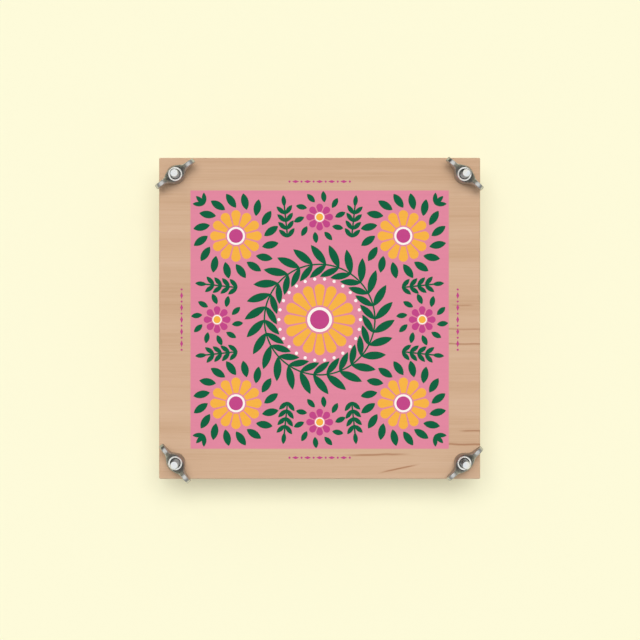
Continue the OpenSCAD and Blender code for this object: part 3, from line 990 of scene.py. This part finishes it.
blank = in_scene("blank", smoothed(outward(casting, merge=True), SHARP_DEG))
cut_away(blank, [(-CUTTER_H, 0), (-CUTTER_H, CUTTER_R), (0, CUTTER_R), (0, 0)])
ring_top = NUT_TOP_MM + RING_CUTTER_H
cut_away(blank, [(NUT_TOP_MM, 0), (NUT_TOP_MM, NUT_FACE_R_MM),
                 (ring_top, NUT_FACE_R_MM + RING_FLARE), (ring_top, 0)])
tap = thread_rows(-1, NUT_TOP_MM + 1, CREST_AT_NUT_FOOT, tap_limit, THREAD_GAP)
cut_away(blank, [(-1, 0)] + tap + [(NUT_TOP_MM + 1, 0)])
nut_mesh = smoothed(outward(blank.data, merge=True), SHARP_DEG)
nut_mesh.materials.clear()
bpy.data.objects.remove(blank)
for corner, place in bolt_places.items():
    mesh = nut_mesh.copy()
    mesh.name = "cast_wing_nut_" + corner
    mesh.transform(Matrix.Rotation(math.radians(NUT_TURNS_DEG[corner]), 4, "Z"))
    nut = new_piece(mesh.name, mesh, [nut_zinc], "wing_nut_" + corner, "zinc_nut", (*place, nut_z))
    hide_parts("wing_nut_" + corner)
print("wing nuts with", len(nut_mesh.vertices), "points")

# %% [markdown]
# Cards and papers are squares with their corners cut off to clear the bolts. A knife leaves an edge
# that is never quite straight, so the outline has many points with a slight wander, from a seeded
# random source that gives the same sheets each time.

# %% The outline of cut sheets
CORNER_GAP = 2.5
EDGE_STEP = 3.0
corner_sum = 2 * bolt_at - math.sqrt(2) * (THREAD_R + CORNER_GAP)
wander = np.random.default_rng(7)


def cut_outline(side, rough):
    """Points along the edge of a square with cut corners, side from the middle to each edge."""
    short = corner_sum - side
    marks = np.array([(side, -short), (side, short), (short, side), (-short, side),
                      (-side, short), (-side, -short), (-short, -side), (short, -side)], float)
    points = []
    for start, end in zip(marks, np.roll(marks, -1, 0)):
        length = np.linalg.norm(end - start)
        count = max(2, int(length / EDGE_STEP))
        inward = np.array([start[1] - end[1], end[0] - start[0]]) / length
        for k in range(count):
            points.append(start + (end - start) * k / count + inward * rough * wander.random())
    return np.array(points)


def nudge(shift_mm, turn_deg):
    """A place and a turn a hair out of line, as loose sheets lie."""
    return (*wander.uniform(-shift_mm, shift_mm, 2), 0), wander.uniform(-turn_deg, turn_deg)


print(f"sheets end {corner_sum:.1f} mm from the middle, x and y added")

# %% [markdown]
# A sheet could be a flat box with a bevel modifier, but its outline has over 200 points, and four
# rings of them are simpler: the two rings in the middle stand out a hair, which rounds the edge. A
# card is several papers in one mesh, so every part brings the number of its material.

# %% A function for cut sheets
SHEET_SHARP_DEG = 40


def sheet_part(outline, low, thick, soft):
    """Points and faces of a flat sheet whose edge is rounded by soft."""
    middle = outline.mean(0)
    shrink = 1 - soft / np.abs(outline).max()
    levels = [(low + thick * share, 1 if 0 < share < 1 else shrink) for share in (0, 0.25, 0.75, 1)]
    n = len(outline)
    points = np.concatenate([np.column_stack([middle + (outline - middle) * s, np.full(n, z)])
                             for z, s in levels])
    faces = [tuple(range(n))[::-1], tuple(range(3 * n, 4 * n))]
    faces += [(r * n + k, r * n + (k + 1) % n, (r + 1) * n + (k + 1) % n, (r + 1) * n + k)
              for r in range(3) for k in range(n)]
    return points, faces


def sheet_mesh(name, parts):
    """One mesh from several parts, each with its points, its faces and its material's number."""
    points, faces, numbers = [], [], []
    for part_points, part_faces, number in parts:
        offset = sum(len(p) for p in points)
        points.append(part_points)
        faces += [tuple(i + offset for i in face) for face in part_faces]
        numbers += [number] * len(part_faces)
    mesh = bpy.data.meshes.new(name)
    mesh.from_pydata((np.concatenate(points) * MM).tolist(), [], faces)
    mesh.polygons.foreach_set("material_index", numbers)
    return outward(smoothed(mesh, SHEET_SHARP_DEG))


print("edges that bend by more than", SHEET_SHARP_DEG, "degrees stay sharp")

# %% [markdown]
# Corrugated card is three papers: two flat ones and a wavy one between them, glued along its
# crests. A modifier could bend a flat strip into waves, but would leave it thin on the slopes. So
# the wave is written as a sine with a thickness that is measured square to the slope. Seen from
# the front the waves show in the edge, and from the left or right only the papers' edges do.

# %% Corrugated cards
CARD_SIDE, CARD_T, LINER_T, CORE_T = 89.0, 3.0, 0.25, 0.25
CORE_IN_GLUE, CORE_BACK_X, CORE_BACK_Y = 0.02, 0.15, 0.1
CARD_ROUGH, CARD_SOFT, CARD_NUDGE = 0.12, 0.02, (0.25, 0.12)
WAVE_STEPS = 14


def core_part(low, phase):
    """The wavy paper: four long edges and the strips between them."""
    swing = CARD_T / 2 - LINER_T - CORE_T / 2 + CORE_IN_GLUE
    short = corner_sum - CARD_SIDE
    steps = round(2 * CARD_SIDE / CARD_WAVE_MM * WAVE_STEPS)
    end = CARD_SIDE - CORE_BACK_X
    x = np.union1d(np.linspace(-end, end, steps), [-short, short])
    angle = 2 * math.pi * x / CARD_WAVE_MM + phase
    z = low + CARD_T / 2 + swing * np.sin(angle)
    slope = swing * 2 * math.pi / CARD_WAVE_MM * np.cos(angle)
    length = np.hypot(slope, 1)
    off_x, off_z = -slope / length * CORE_T / 2, CORE_T / 2 / length
    reach = np.minimum(CARD_SIDE, corner_sum - np.abs(x)) - CORE_BACK_Y
    points = np.concatenate([np.column_stack((x + side * off_x, way * reach, z + side * off_z))
                             for side, way in ((-1, -1), (-1, 1), (1, 1), (1, -1))])
    n = len(x)
    faces = [(a * n + k, b * n + k, b * n + k + 1, a * n + k + 1)
             for a, b in ((0, 1), (1, 2), (2, 3), (3, 0)) for k in range(n - 1)]
    faces += [(0, 3 * n, 2 * n, n), (n - 1, 2 * n - 1, 3 * n - 1, 4 * n - 1)]
    return points, faces


cards = sorted(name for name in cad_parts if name.startswith("card_"))
for name in cards:
    low = box_mm(name)[0][2]
    parts = [(*sheet_part(cut_outline(CARD_SIDE, CARD_ROUGH), z, LINER_T, CARD_SOFT), 0)
             for z in (low, low + CARD_T - LINER_T)]
    parts.append((*core_part(low, wander.uniform(0, 2 * math.pi)), 1))
    card = new_piece("corrugated_" + name, sheet_mesh("corrugated_" + name, parts),
                     [liner_kraft, core_kraft], name, "kraft_card", *nudge(*CARD_NUDGE))
    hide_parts(name)
print(len(cards), "cards with", round(2 * CARD_SIDE / CARD_WAVE_MM), "waves each")

# %% [markdown]
# A blotting paper is thick and soft, and it has been cut with a guillotine, whose blade drags the
# fibres along: its edge is rounder and less even than the card's.

# %% Blotting papers
BLOTTER_SIDE, BLOTTER_T = 88.0, 0.6
BLOTTER_ROUGH, BLOTTER_SOFT, BLOTTER_NUDGE = 0.25, 0.12, (0.4, 0.2)

blotters = sorted(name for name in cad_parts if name.startswith("blotter_"))
for name in blotters:
    low = box_mm(name)[0][2]
    outline = cut_outline(BLOTTER_SIDE, BLOTTER_ROUGH)
    parts = [(*sheet_part(outline, low, BLOTTER_T, BLOTTER_SOFT), 0)]
    paper = new_piece("cotton_" + name, sheet_mesh("cotton_" + name, parts),
                      [blotter_paper], name, "blotting_paper", *nudge(*BLOTTER_NUDGE))
    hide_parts(name)
print(len(blotters), "blotting papers", BLOTTER_T, "mm thick")

# %% [markdown]
# Dressing a solid must not change its size. The box round everything is therefore printed next to
# the box that the solids had at the start.

# %% Print the sizes and finish
dressed_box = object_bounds()
boxes = {"solids": [list(v) for v in solid_box], "dressed": [list(v) for v in dressed_box]}
for name, (low, high) in boxes.items():
    print(name, [round((b - a) / MM, 2) for a, b in zip(low, high)], "mm")
